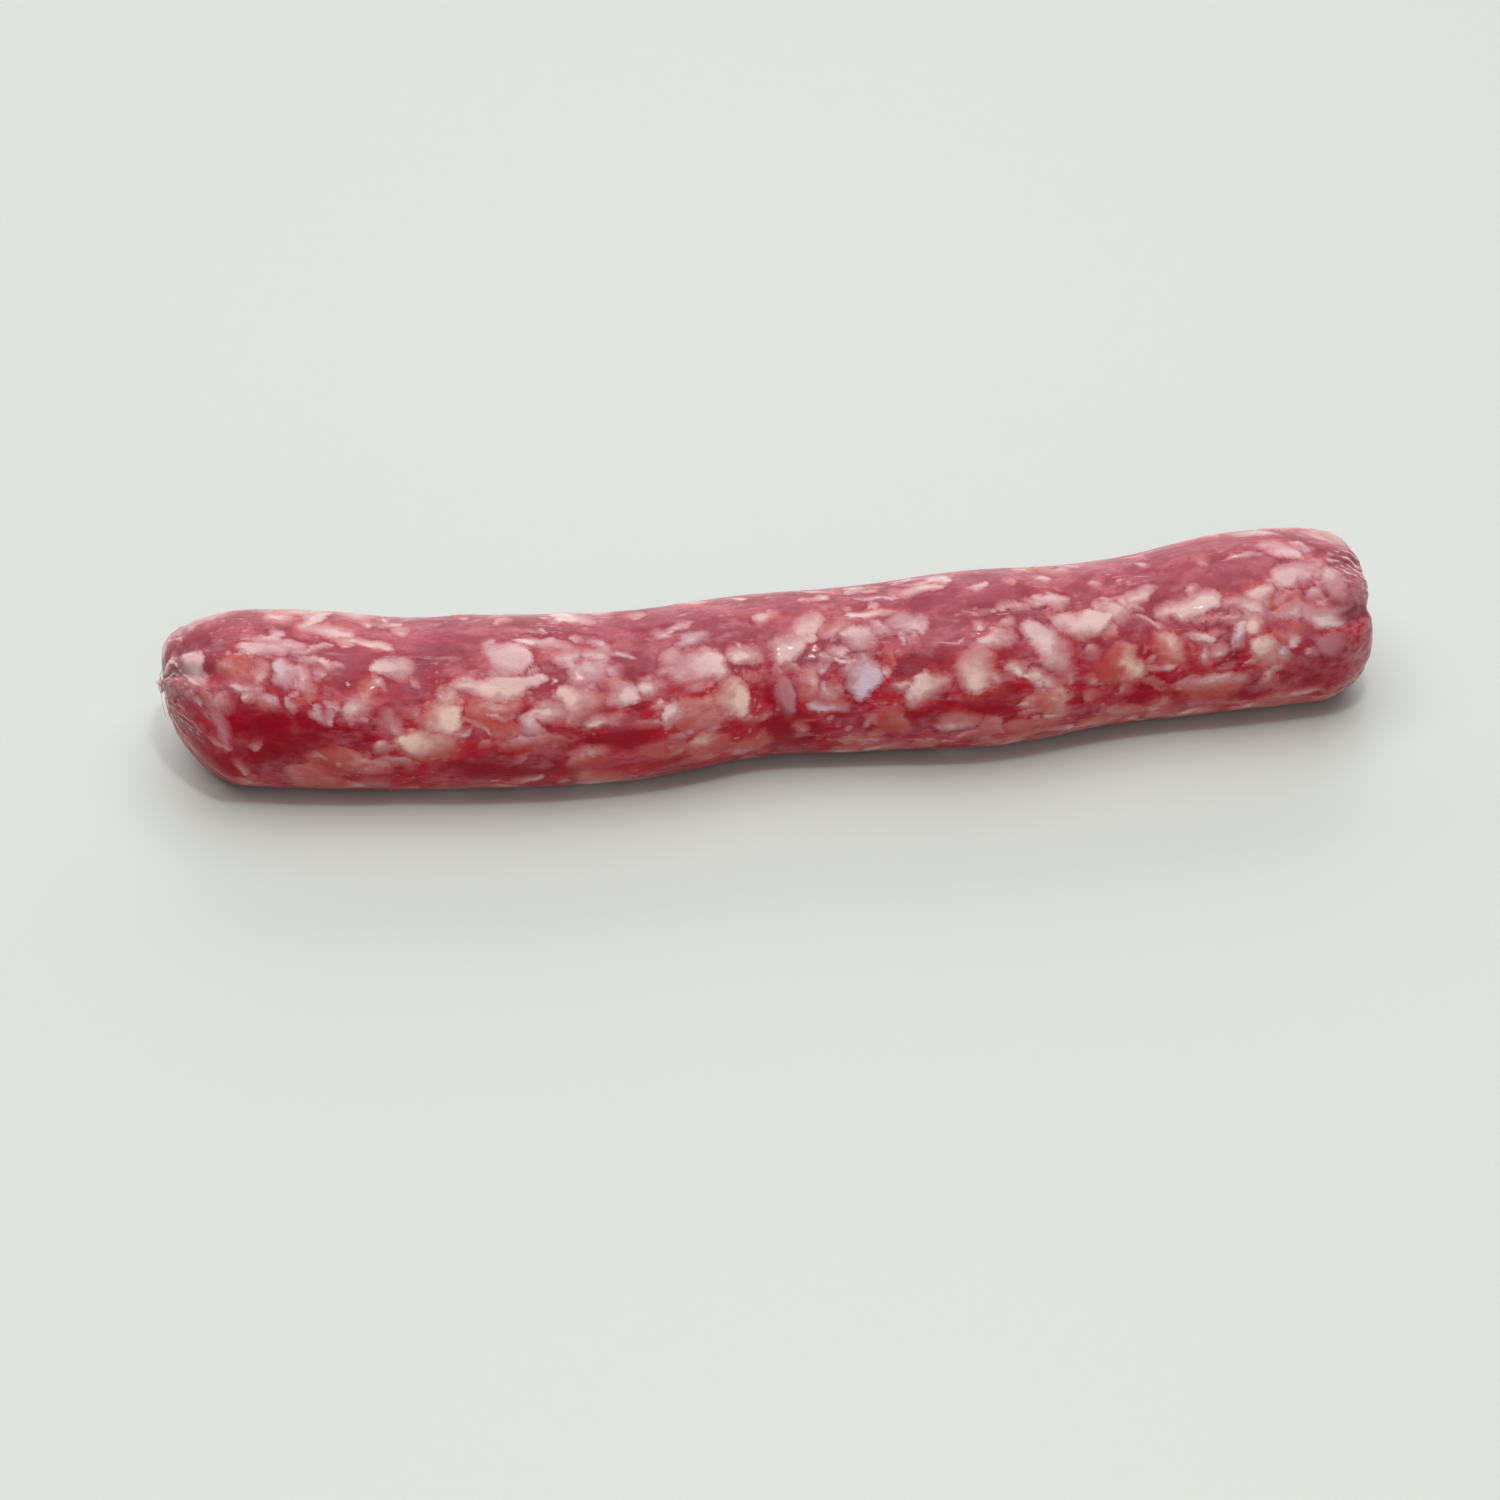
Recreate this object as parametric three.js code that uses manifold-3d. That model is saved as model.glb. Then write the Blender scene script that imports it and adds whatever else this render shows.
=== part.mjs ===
// A fresh pork sausage: coarse meat in a natural casing, one solid lying on its side.
// Millimetres, +Z up. +X runs from the pointed end to the blunt end, and the sausage bows towards -Y.
// The origin is the middle of the box round it, on the surface it rests on.
import * as THREE from "three";
import { mergeVertices } from "three/addons/utils/BufferGeometryUtils.js";
import Module from "manifold-3d";

// Driving dimensions
const LENGTH = 214.8; // from cap to cap, before the ends pucker in
const WIDTH = 31.6; // across the meat where it lies
const HEIGHT = 29.2; // of the same oval before its underside flattens
const SETTLED = 0.1; // share of the half height that the meat's own weight presses flat
const SETTLE_EDGE = 0.9; // height over which the flat underside turns up into the side

// Each end: how long its cap is, how pointed (0.5 is round), how deep its puckered middle sinks in,
// how far that middle lies off the axis, and how much further the end reaches low on its front
const POINTED_END = { cap: 16, taper: 0.68, sink: 2.8, aside: 3.2, raised: 2.2, slant: -0.3 };
const BLUNT_END = { cap: 11, taper: 0.29, sink: 3, aside: 0.5, raised: 0.9, slant: 0.5 };
const SLANT_ANGLE = THREE.MathUtils.degToRad(233); // round the casing, where 0 is +Y and 90 is up
const PUCKER_WIDTH = 0.3; // of the end's radius, where the casing sinks in
const END_EASE = 1.5; // how late an end starts to bend off the axis

// How far the middle line swings towards -Y, at distances from the pointed end
const BOW = [
  [0, 0.6],
  [16, 0.8],
  [42, 5.3],
  [78, 8.1],
  [104, 4.6],
  [122, 5.2],
  [145, 6],
  [167, 3.3],
  [191, 1.3],
  [LENGTH, 0.2],
];

// Where the filling is fuller or slacker: distance from the pointed end, reach, share of the radius
const SWELLS = [
  { at: 25, reach: 10, by: 0.022 },
  { at: 43, reach: 5, by: -0.022 },
  { at: 106, reach: 19, by: -0.06 },
  { at: 143, reach: 9, by: 0.04 },
  { at: 169, reach: 11, by: -0.045 },
  { at: 192, reach: 10, by: 0.05 },
];

// Lumps of fat that push the casing out
const LUMPS = 170;
const LUMP_LENGTH = [5, 12];
const LUMP_SLIMNESS = [0.5, 0.9]; // width over length
const LUMP_HEIGHT = [0.12, 0.42];
const LUMP_SLANT = 0.6; // radians either way from the sausage's own direction
const LUMP_SPREAD = 0.6; // of half its size, over which a lump fades out

// The casing gathers in pleats round each end, and one is a deep furrow
const PLEATS = 11;
const PLEAT_DEPTH = 0.2; // of the radius
const PLEAT_REACH = 1.25; // in caps, from the tip
const FURROW_ANGLE = THREE.MathUtils.degToRad(146);
const FURROW_WIDTH = 0.24; // radians
const FURROW_DEPTH = 2;
const FURROW_LENGTH = 9;

// The casing's twisted ends, cut short: radii of the neck and the frilled rim, and the twist in radians
const TWIST_LENGTH = 1.5;
const TWIST_NECK = 0.9;
const TWIST_RIM = 1.4;
const TWIST_LOBES = 3;
const TWIST_RIPPLE = 0.32; // of the radius
const TWIST_TURN = 2.7;
const POINTED_TWIST = new THREE.Vector3(-1, 0.5, 0.25); // the ways that the two ends lean
const BLUNT_TWIST = new THREE.Vector3(1, -0.15, 0.3);

// How finely the solid is divided
const SIDES = 48;
const BODY_STEP = 2.3;
const CAP_STEPS = 11;

// A repeatable source of numbers from 0 to 1
function seeded(seed) {
  let state = seed >>> 0;
  return () => {
    state = (state + 0x6d2b79f5) >>> 0;
    let mixed = Math.imul(state ^ (state >>> 15), state | 1);
    mixed ^= mixed + Math.imul(mixed ^ (mixed >>> 7), mixed | 61);
    return ((mixed ^ (mixed >>> 14)) >>> 0) / 4294967296;
  };
}

function between([low, high], share) {
  return low + (high - low) * share;
}

function bell(distance, reach) {
  return Math.exp(-0.5 * (distance / reach) ** 2);
}

// The shortest turn from one angle to another
function turn(from, to) {
  return Math.atan2(Math.sin(to - from), Math.cos(to - from));
}

const middleLine = new THREE.SplineCurve(BOW.map(([at, out]) => new THREE.Vector2(at, -out)));
const MIDDLE_POINTS = middleLine.getPoints(400);

// The middle line's sideways place and heading, at a distance from the pointed end
function middleAt(along) {
  const next = MIDDLE_POINTS.findIndex((point) => point.x > along);
  const high = Math.max(1, next < 0 ? MIDDLE_POINTS.length - 1 : next);
  const from = MIDDLE_POINTS[high - 1];
  const to = MIDDLE_POINTS[high];
  const slope = (to.y - from.y) / (to.x - from.x);
  return { aside: from.y + slope * (along - from.x), heading: Math.atan(slope) };
}

function fullness(along) {
  return SWELLS.reduce((sum, { at, reach, by }) => sum + by * bell(along - at, reach), 1);
}

// The outline of a plain sausage as a lathe profile: its radius as a share, against the distance along
function profile() {
  const points = [];
  for (let i = 0; i <= CAP_STEPS; i++) points.push(capPoint(POINTED_END, i / CAP_STEPS));
  const body = LENGTH - POINTED_END.cap - BLUNT_END.cap;
  const steps = Math.round(body / BODY_STEP);
  for (let i = 1; i < steps; i++) {
    points.push(new THREE.Vector2(1, POINTED_END.cap + (body * i) / steps));
  }
  for (let i = CAP_STEPS; i >= 0; i--) {
    const point = capPoint(BLUNT_END, i / CAP_STEPS);
    points.push(new THREE.Vector2(point.x, LENGTH - point.y));
  }
  return points;
}

function capPoint({ cap, taper, sink }, share) {
  const swing = (share * Math.PI) / 2;
  const radius = share === 0 ? 0 : Math.sin(swing) ** (2 * taper);
  return new THREE.Vector2(radius, cap * (1 - Math.cos(swing)) + sink * bell(radius, PUCKER_WIDTH));
}

// The lumps lie at random along and round the casing, mostly stretched the way the meat was pushed in
function makeLumps() {
  const draw = seeded(7);
  return Array.from({ length: LUMPS }, () => {
    const length = between(LUMP_LENGTH, draw());
    return {
      at: draw() * LENGTH,
      angle: draw() * 2 * Math.PI,
      length,
      width: length * between(LUMP_SLIMNESS, draw()),
      slant: between([-LUMP_SLANT, LUMP_SLANT], draw()),
      height: between(LUMP_HEIGHT, draw()),
    };
  });
}

const lumps = makeLumps();

function lumpHeight(along, angle) {
  return lumps.reduce((highest, lump) => {
    const dx = along - lump.at;
    const ds = (turn(lump.angle, angle) * WIDTH) / 2;
    const lengthwise = dx * Math.cos(lump.slant) + ds * Math.sin(lump.slant);
    const across = ds * Math.cos(lump.slant) - dx * Math.sin(lump.slant);
    const away = Math.hypot(lengthwise / (lump.length / 2), across / (lump.width / 2));
    return Math.max(highest, lump.height * bell(away, LUMP_SPREAD));
  }, 0);
}

// Pleats of uneven width and depth: a share of the radius that they take away near an end
function pleatDepth(angle, seed) {
  const wander = 0.5 * Math.sin(2 * angle + seed) + 0.3 * Math.sin(5 * angle + 2 * seed);
  const fold = 0.5 + 0.5 * Math.cos(PLEATS * angle + 2.2 * wander + seed);
  return PLEAT_DEPTH * fold ** 1.5 * (0.65 + 0.35 * Math.sin(3 * angle + seed));
}

function nearEnd(distance, reach) {
  return THREE.MathUtils.smoothstep(1 - distance / reach, 0, 1);
}

// Takes a point of the plain sausage to its place on the real one
function place(along, angle, radius) {
  const toTip = LENGTH - along;
  const pointed = nearEnd(along, POINTED_END.cap * PLEAT_REACH);
  const blunt = nearEnd(toTip, BLUNT_END.cap * PLEAT_REACH);
  const pleats = pointed * pleatDepth(angle, 1.3) + blunt * pleatDepth(angle, 4.1);
  const furrow =
    FURROW_DEPTH * nearEnd(toTip, FURROW_LENGTH) * bell(turn(FURROW_ANGLE, angle), FURROW_WIDTH);

  const full = fullness(along);
  const halfWidth = (WIDTH / 2) * full;
  const halfHeight = (HEIGHT / 2) * full;
  const share = radius * (1 - pleats);
  const out = radius ** 2 * lumpHeight(along, angle) - radius * furrow;
  const side = (halfWidth * share + out) * Math.cos(angle);
  const up = (halfHeight * share + out) * Math.sin(angle);

  const { aside, heading } = middleAt(along);
  const pull = nearEnd(along, POINTED_END.cap) ** END_EASE;
  const push = nearEnd(toTip, BLUNT_END.cap) ** END_EASE;
  const shift = pull * POINTED_END.aside + push * BLUNT_END.aside;
  const lift = pull * POINTED_END.raised + push * BLUNT_END.raised;
  const reach = radius * Math.cos(turn(SLANT_ANGLE, angle));
  const further = push * BLUNT_END.slant * reach - pull * POINTED_END.slant * reach;
  return new THREE.Vector3(
    along + further - side * Math.sin(heading),
    aside + shift + side * Math.cos(heading),
    settled(halfHeight * (1 - SETTLED) + lift + up),
  );
}

// Soft meat rests flat: what would lie under the surface spreads on it, with a short curve up to the side
function settled(height) {
  if (height <= -SETTLE_EDGE) return 0;
  if (height >= SETTLE_EDGE) return height;
  return (height + SETTLE_EDGE) ** 2 / (4 * SETTLE_EDGE);
}

function meatGeometry() {
  const geometry = new THREE.LatheGeometry(profile(), SIDES);
  const position = geometry.getAttribute("position");
  for (let i = 0; i < position.count; i++) {
    const radius = Math.hypot(position.getX(i), position.getZ(i));
    const angle = Math.atan2(position.getX(i), position.getZ(i));
    const point = place(position.getY(i), angle, radius);
    position.setXYZ(i, point.x, point.y, point.z);
  }
  return geometry;
}

// A short twisted end of casing, like the neck of a tied balloon: it grows along +Y from inside the meat
function twistGeometry() {
  const root = TWIST_LENGTH * 0.8;
  const profilePoints = [
    [0, -root],
    [TWIST_NECK * 1.6, -root],
    [TWIST_NECK * 1.3, 0],
    [TWIST_NECK, TWIST_LENGTH * 0.25],
    [TWIST_NECK * 1.15, TWIST_LENGTH * 0.55],
    [TWIST_RIM, TWIST_LENGTH * 0.95],
    [TWIST_RIM * 0.85, TWIST_LENGTH],
    [TWIST_NECK * 0.5, TWIST_LENGTH * 0.75],
    [0, TWIST_LENGTH * 0.7],
  ].map(([radius, along]) => new THREE.Vector2(radius, along));
  const geometry = new THREE.LatheGeometry(profilePoints, TWIST_LOBES * 5);
  const position = geometry.getAttribute("position");
  for (let i = 0; i < position.count; i++) {
    const along = position.getY(i);
    const angle = Math.atan2(position.getX(i), position.getZ(i));
    const twist = (TWIST_TURN * along) / TWIST_LENGTH;
    const lobe = 1 + TWIST_RIPPLE * Math.cos(TWIST_LOBES * angle + twist);
    position.setXYZ(i, position.getX(i) * lobe, along, position.getZ(i) * lobe);
  }
  return geometry;
}

// Puts a twisted end at a tip, leaning the way given
function twistAt(tip, direction) {
  const geometry = twistGeometry();
  const turned = new THREE.Quaternion().setFromUnitVectors(
    new THREE.Vector3(0, 1, 0),
    direction.clone().normalize(),
  );
  geometry.applyQuaternion(turned);
  return geometry.translate(tip.x, tip.y, tip.z);
}

const wasm = await Module();
wasm.setup();

function solidOf(geometry) {
  const plain = geometry.clone();
  plain.deleteAttribute("normal");
  plain.deleteAttribute("uv");
  const merged = mergeVertices(plain, 1e-3);
  const mesh = new wasm.Mesh({
    numProp: 3,
    vertProperties: merged.getAttribute("position").array,
    triVerts: new Uint32Array(merged.index.array),
  });
  return new wasm.Manifold(mesh);
}

function geometryOf(solid) {
  const mesh = solid.getMesh();
  const geometry = new THREE.BufferGeometry();
  geometry.setAttribute("position", new THREE.BufferAttribute(mesh.vertProperties, 3));
  geometry.setIndex(new THREE.BufferAttribute(mesh.triVerts, 1));
  geometry.computeVertexNormals();
  return geometry;
}

const pointedTip = place(POINTED_END.sink, 0, 0);
const bluntTip = place(LENGTH - BLUNT_END.sink, 0, 0);
const solid = solidOf(meatGeometry())
  .add(solidOf(twistAt(pointedTip, POINTED_TWIST)))
  .add(solidOf(twistAt(bluntTip, BLUNT_TWIST)));

const geometry = geometryOf(solid);
geometry.computeBoundingBox();
const middle = geometry.boundingBox.getCenter(new THREE.Vector3());
geometry.translate(-middle.x, -middle.y, 0);

const rawMeat = new THREE.MeshStandardMaterial({ color: 0xa8525a, roughness: 0.35, metalness: 0 });
const sausage = new THREE.Mesh(geometry, rawMeat);
sausage.name = "sausage";

const part = new THREE.Group();
part.add(sausage);

export default part;
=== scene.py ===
import math
import random
from types import SimpleNamespace

import bpy
import numpy as np
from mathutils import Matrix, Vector, noise


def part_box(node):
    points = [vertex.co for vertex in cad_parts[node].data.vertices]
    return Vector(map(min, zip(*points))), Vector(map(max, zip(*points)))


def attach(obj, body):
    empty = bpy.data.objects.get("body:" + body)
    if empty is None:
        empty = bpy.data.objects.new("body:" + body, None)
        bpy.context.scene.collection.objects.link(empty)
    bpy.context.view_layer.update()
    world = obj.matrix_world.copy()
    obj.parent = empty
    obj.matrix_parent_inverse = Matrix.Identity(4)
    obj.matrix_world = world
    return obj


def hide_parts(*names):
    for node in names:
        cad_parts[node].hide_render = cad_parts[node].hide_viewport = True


# A fresh pork sausage: coarse lean and fat in a clear natural casing, lying on its side.
# Shapes are worked out in millimetres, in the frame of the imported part: +Z up, +X towards the blunt end.

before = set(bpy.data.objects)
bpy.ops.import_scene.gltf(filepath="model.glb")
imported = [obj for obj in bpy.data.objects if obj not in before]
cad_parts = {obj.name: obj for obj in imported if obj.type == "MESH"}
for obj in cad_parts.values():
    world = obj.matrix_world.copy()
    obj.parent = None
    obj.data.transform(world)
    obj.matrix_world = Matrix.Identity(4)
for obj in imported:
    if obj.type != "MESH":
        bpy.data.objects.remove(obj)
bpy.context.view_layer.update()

MM = 0.001

# The form, the same sizes as the solid's
LENGTH = 214.8
WIDTH = 31.6
HEIGHT = 29.2
MEAN_RADIUS = (WIDTH + HEIGHT) / 4
SETTLED = 0.1  # share of the half height that the meat's own weight presses flat
SETTLE_EDGE = 0.9  # height over which the flat underside turns up into the side
# Each end: how far its rounding reaches, how pointed it is, how deep its middle is drawn in, and how far it
# is pulled aside, lifted and slanted
POINTED_END = dict(cap=16, taper=0.68, sink=2.8, aside=3.2, raised=2.2, slant=-0.3)
BLUNT_END = dict(cap=11, taper=0.29, sink=3, aside=0.5, raised=0.9, slant=0.5)
SLANT_ANGLE = math.radians(233)
PUCKER_WIDTH = 0.3
END_EASE = 1.5
# Its middle line: distance along, and how far towards the front
BOW = [
    (0, 0.6), (16, 0.8), (42, 5.3), (78, 8.1), (104, 4.6),
    (122, 5.2), (145, 6), (167, 3.3), (191, 1.3), (LENGTH, 0.2),
]
# Where it is thicker or thinner: distance along, reach and share
SWELLS = [
    (25, 10, 0.022), (43, 5, -0.022), (106, 19, -0.06),
    (143, 9, 0.04), (169, 11, -0.045), (192, 10, 0.05),
]
PLEATS = 11
PLEAT_DEPTH = 0.2
PLEAT_REACH = 1.25
FULL_LOBE = math.radians(185)  # low on the blunt end the meat fills the casing, without pleats
FULL_LOBE_REACH = 0.65
FURROW_ANGLE = math.radians(146)
FURROW_WIDTH = 0.11
FURROW_DEPTH = 2.6
FURROW_LENGTH = 14

# The casing's twisted ends, cut short
TWIST_LENGTH = 1.5
TWIST_NECK = 0.9
TWIST_RIM = 1.4
TWIST_LOBES = 3
TWIST_RIPPLE = 0.32
TWIST_TURN = 2.7
POINTED_TWIST = (-1, 0.5, 0.25)
BLUNT_TWIST = (1, -0.15, 0.3)
TWIST_SIDES = 30
STUB_SIZE = 0.7  # the bare casing itself is smaller than its solid, and stands more upright
STUB_LEANS = ((-0.5, 0.4, 0.9), (0.7, -0.5, 0.7))

# Shreds of casing at the ends: which end, way out, curl, length and width
SHREDS = [
    (0, (-0.6, 0.3, 0.9), (0.5, -0.2, 0.1), 3.4, 0.9),
    (0, (-0.5, -0.5, 0.6), (0.4, -0.5, -0.3), 3.6, 0.8),
    (0, (-0.4, -0.6, -0.4), (0.5, -0.3, -0.5), 4.2, 0.7),
    (1, (0.7, -0.4, 0.4), (-0.2, -0.5, 0.3), 3.2, 0.8),
    (1, (0.6, -0.1, 0.9), (-0.5, 0.1, 0.2), 3.4, 0.7),
    (1, (0.8, -0.7, -0.2), (-0.3, -0.4, -0.4), 3.8, 0.6),
]
SHRED_STEPS = 14
SHRED_SIDES = 10
SHRED_THICK = 0.16

# How finely the casing is divided
AROUND = 196
BODY_RINGS = 446
CAP_RINGS = 27

# Fine folds of gathered casing at both ends
FOLDS = 34
FOLD_SHARPNESS = 6
FOLD_HEIGHT = 0.36
FOLD_LOWEST = -0.6  # as a share of the height
FOLD_REACH = (12, 12)  # from the pointed tip and from the blunt one
FOLD_SPIRAL = 0.09  # radians for each millimetre along: the casing was twisted shut
FOLD_WANDER = (0.3, 4.0)  # radians, and the distance over which it changes

# Soft unevenness of the filled casing: height, the distance over which it changes, how much shorter that
# is round the sausage than along it, and a seed
RIPPLES = [(0.14, 5, 0.6, 5), (0.06, 2, 0.5, 6)]

# Fat that shows from the front, read off the photograph: distance from the pointed end, angle round
# (0 is +Y, 90 the top, 180 the front), length, width, slant of the length towards the front in degrees,
# lean over it, and tone (-1 lilac, 0 pink white, 1 cream)
FRONT_FAT = [
    (8.3, 121, 9.4, 4.8, -72, 0, -0.1),
    (13, 145, 4.8, 3.2, 0, 0.15, 0),
    (12.6, 161, 8, 2.4, 80, 0.7, -0.8),
    (21.5, 108, 12.5, 3.6, 3, 0, 0.1),
    (21.5, 101, 6, 2.2, 10, 0.05, 0),
    (25, 126, 6.5, 4, 28, 0, -0.7),
    (20.6, 124, 4, 3.2, -45, 0.2, 0.2),
    (17, 121, 7, 4.4, 0, 0.7, -0.1),
    (28.7, 131, 6.5, 3, 70, 0.3, 0),
    (18.5, 137, 8, 1.5, 12, 0.1, -0.3),
    (22.4, 143, 4, 2.4, 20, 0.25, -0.2),
    (30.5, 116, 8, 1.6, 5, 0.1, 0),
    (31, 90, 11, 4, 0, 0.25, 0.5),
    (36, 97, 14, 2.6, 8, 0.3, 0.2),
    (42.8, 116, 8.2, 5, -8, 0, 0.2),
    (39.5, 131, 6.5, 3, -60, 0.4, 0.2),
    (37, 144, 6.6, 3.4, -62, 0.05, -0.3),
    (31.4, 149, 3.2, 1.6, 70, 0.05, -0.2),
    (33.4, 152, 3, 1.6, -50, 0.1, -0.2),
    (26.5, 144, 3.4, 1.2, 50, 0.15, -0.4),
    (42, 154, 5.5, 2, 70, 0.3, -0.6),
    (36, 184, 12, 5.5, 5, 0.5, 1),
    (30, 197, 6.5, 4, 30, 0.25, 0.5),
    (43.5, 184, 6, 1.8, 8, 0.05, -0.6),
    (17, 193, 5, 2.4, 50, 0.05, -0.2),
    (20.6, 175, 2.2, 2, 0, 0, 0),
    (12.5, 174, 5, 1.3, 10, 0.2, -0.3),
    (48.3, 171, 11.5, 6.2, 14, 0, 0.9),
    (51.5, 152, 10, 6.4, -58, 0, 0.8),
    (59.5, 134, 16.5, 5, -2, 0, 0.4),
    (59.5, 147, 9, 4.4, 0, 0.45, 0.8),
    (60.5, 158, 9, 4, 25, 0.7, 0.5),
    (65.2, 158, 5.4, 3.4, -78, 0, -0.3),
    (66, 169, 11, 2.4, 3, 0.3, 0),
    (61.6, 111, 9, 7, 12, 0, -0.1),
    (58.6, 99, 3.6, 1.6, -50, 0.05, -0.3),
    (67.5, 101, 12, 2.2, 8, 0.2, 0),
    (72, 112, 6, 4.4, 0, 0.1, 0.1),
    (76.8, 111, 6, 3.4, 6, 0, 0),
    (75.3, 125, 6.6, 5.2, 10, 0, -0.2),
    (72.6, 144, 7.4, 6, 12, 0, 0.5),
    (68.5, 150, 9, 3.8, 0, 0.1, 0.2),
    (76.5, 157, 7, 1.8, -3, 0, 0),
    (79.6, 140, 6.6, 5.4, 0, 0, 0),
    (84.2, 139, 5.2, 3.4, 10, 0.05, 0),
    (87.4, 157, 5.2, 4.4, -20, 0, 0.1),
    (91.4, 160, 8.5, 8, 80, 0.35, 0.9),
    (92.5, 128, 12.5, 6.6, -12, 0, 0.1),
    (91.2, 96, 6, 1.4, -14, 0.05, -0.2),
    (93, 107, 7, 2, -14, 0.1, -0.8),
    (84.5, 187, 5.4, 2.8, 0, 0.4, 0.4),
    (92.5, 191, 8.5, 6.5, 10, 0.35, 1),
    (74.5, 189, 6.5, 3.4, 0, 0.7, 0.2),
    (97.6, 155, 8.4, 7.4, 60, 0, 0.8),
    (101.6, 125, 9, 3.8, 5, 0.2, 0.1),
    (111, 123, 11, 5.2, -14, 0, 0.3),
    (113.8, 108, 7, 5.6, -60, 0, 0.3),
    (106.8, 95, 6, 2.4, -22, 0.25, 0.2),
    (122.4, 120, 7, 4.8, 5, 0, -0.2),
    (118.8, 111, 6, 2.8, -40, 0.35, 0),
    (125, 103, 10.5, 2.2, 4, 0, 0),
    (131.4, 114, 8, 4.2, 14, 0, -0.6),
    (134, 84, 10, 2.8, -10, 0, 0.1),
    (122.8, 147, 8.2, 6.8, -30, 0, -1),
    (113.8, 150, 7.6, 4.4, 80, 0.25, 0),
    (117, 158, 6, 3.2, 75, 0.2, -0.2),
    (116.6, 167, 7.6, 3, 12, 0.1, -0.4),
    (108.8, 158, 7.5, 3, 80, 0.45, -0.8),
    (111.4, 184, 2.6, 1.8, 0, 0.1, 0),
    (133, 159, 9.4, 4.6, -32, 0, 0.3),
    (127.6, 181, 7, 6, 0, 0.65, 0.9),
    (122.6, 196, 8, 2.4, 5, 0.2, 0.1),
    (138, 187, 7.4, 2.8, -10, 0, 0.1),
    (100.4, 197, 9, 4.2, -8, 0.15, 0.9),
    (141.4, 150, 9.6, 6.8, 82, 0, 0.6),
    (144.6, 132, 7.6, 3.4, -2, 0, 0),
    (153.4, 139, 12, 6.4, 78, 0, 0),
    (160.5, 127, 13, 5, -8, 0, 0.2),
    (166.4, 121, 8, 5.4, -12, 0.05, 0.1),
    (151, 158, 8.6, 2.8, 32, 0, 0.2),
    (152.4, 176, 8, 6, 76, 0.2, 1),
    (153, 193, 3.6, 2.6, 0, 0, 0.2),
    (143.6, 192, 4.8, 3.6, 60, 0.1, 0.2),
    (147.8, 195, 4.4, 2.8, 0, 0.15, 0.1),
    (155.8, 107, 6.4, 3.2, 5, 0.05, 0.1),
    (149.5, 109, 5.4, 1.2, 5, 0.15, 0),
    (170.8, 112, 9, 3.8, -8, 0.05, 0),
    (180.4, 125, 14, 4.6, 0, 0, 0.1),
    (189.4, 132, 8.4, 4, 4, 0, 0),
    (165.5, 159, 11, 8, 0, 0.6, 1),
    (174.8, 151, 8, 4.4, 75, 0.35, 0.8),
    (180, 146, 6, 1.6, 22, 0, -0.5),
    (187.5, 151, 5, 2.4, -60, 0, -0.7),
    (183.4, 159, 3.8, 2.2, 0, 0, -0.1),
    (182.6, 181, 14, 5.2, -3, 0.1, 0),
    (166.4, 196, 7.4, 3.2, 12, 0, 0),
    (192.4, 127, 6.2, 4.6, -8, 0, 0.6),
    (189.8, 144, 6, 5.4, 20, 0, 0.5),
    (200, 114, 11.5, 5, -26, 0, 0),
    (197.8, 94, 8.6, 3.2, 16, 0, -0.1),
    (190.5, 95, 8, 1, -4, 0.05, -0.2),
    (206, 121, 6.4, 5, 40, 0.1, 0.1),
    (203, 144, 11.6, 4.4, 6, 0, -0.1),
    (197, 138, 6.6, 2.8, -4, 0.2, 0),
    (192.6, 163, 8.6, 6.4, 20, 0.15, 0.5),
    (195.8, 165, 3, 4, 0, 0.05, -1),
    (197, 203, 13, 2.6, -3, 0.05, 0.2),
    (204.4, 161, 5, 3.6, 70, 0.8, -0.8),
    (201, 167, 2.4, 1.6, 0, 0, 0),
    (197, 156, 3, 2, 30, 0.05, 0),
]

# Plain lean that shows from the front, read the same way: distance along, angle round, length, width, and
# its tone (-1 mauve under a thin film, 1 dark crimson, which low on the front is partly painted shade)
FRONT_LEAN = [
    (7.5, 172, 9, 15, 0.8),
    (21, 165, 17, 15, 0.7),
    (33, 165, 15, 8, 0.6),
    (15, 195, 16, 6, 0.9),
    (63, 192, 24, 7, 1),
    (36, 112, 9, 5, -0.9),
    (50, 99, 17, 5, -0.6),
    (44.5, 136, 7, 7, -0.7),
    (12.5, 130, 6, 6, 0.1),
    (105, 101, 16, 6, -0.5),
    (136, 104, 15, 6, -0.5),
    (79, 172, 9, 4, 0.8),
    (109, 188, 18, 10, 0.7),
    (132, 186, 20, 8, 0.8),
    (131.5, 142, 9, 6, 0.3),
    (144, 172, 10, 9, 0.7),
    (146, 98, 12, 4, -0.7),
    (187, 104, 24, 7, -1),
    (203, 172, 18, 12, -0.9),
    (189, 194, 9, 8, 0.8),
    (168, 140, 22, 2.5, 0.2),
    (88, 92, 26, 4, -0.6),
    (55, 81, 20, 4, -0.4),
    (160, 200, 8, 5, 1),
]
LEAN_EDGE = (0.6, 1.3)  # where such a stretch starts to fade and where it ends, as shares of its half size
LEAN_RAGGED = 0.55  # how uneven its edge is
LOW_SIDE_SHADE = 0.5  # painted shade: low on the front the fat is drawn deeper, so darker and redder
LOW_SIDE = math.radians(206)
LOW_REACH = 0.5

# Fat elsewhere: pieces at random, of the same sizes
HIDDEN_FAT = 230
FRONT_EDGE = (80, 206)  # degrees round, between which the list above has the fat
FAT_LENGTH = (3, 13)
FAT_SLIMNESS = (0.35, 0.8)

# Crumbs of fat: most lie beside the larger pieces
CRUMBS = 1100
CRUMB_LENGTH = (1.5, 4.2)
CRUMB_NEAR = -1.6  # how far outside a larger piece crumbs are usual

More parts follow.
